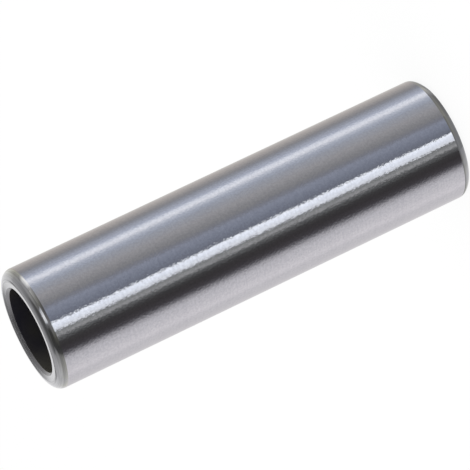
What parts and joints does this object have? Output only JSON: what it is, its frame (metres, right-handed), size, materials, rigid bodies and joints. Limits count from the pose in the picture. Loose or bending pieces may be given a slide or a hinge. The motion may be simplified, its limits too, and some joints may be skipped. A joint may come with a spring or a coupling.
{
  "type": "gudgeon pin",
  "caption": "Hollow steel gudgeon pin: a polished tube with rounded end corners and a straight through bore, joining a piston to its connecting rod.",
  "frame": {"origin": "centre of the lower end face, on the pin's axis, with the pin standing on that end", "axes": "+Z along the pin's axis, from the lower end face to the upper one; X and Y are any two directions across it"},
  "size_m": [0.02, 0.02, 0.073],
  "materials": {
    "ground_steel": "outside ground and polished, ends turned, bore dark as heat-treated"
  },
  "bodies": {
    "root": {"gudgeon_pin": "ground_steel"}
  },
  "joints": []
}
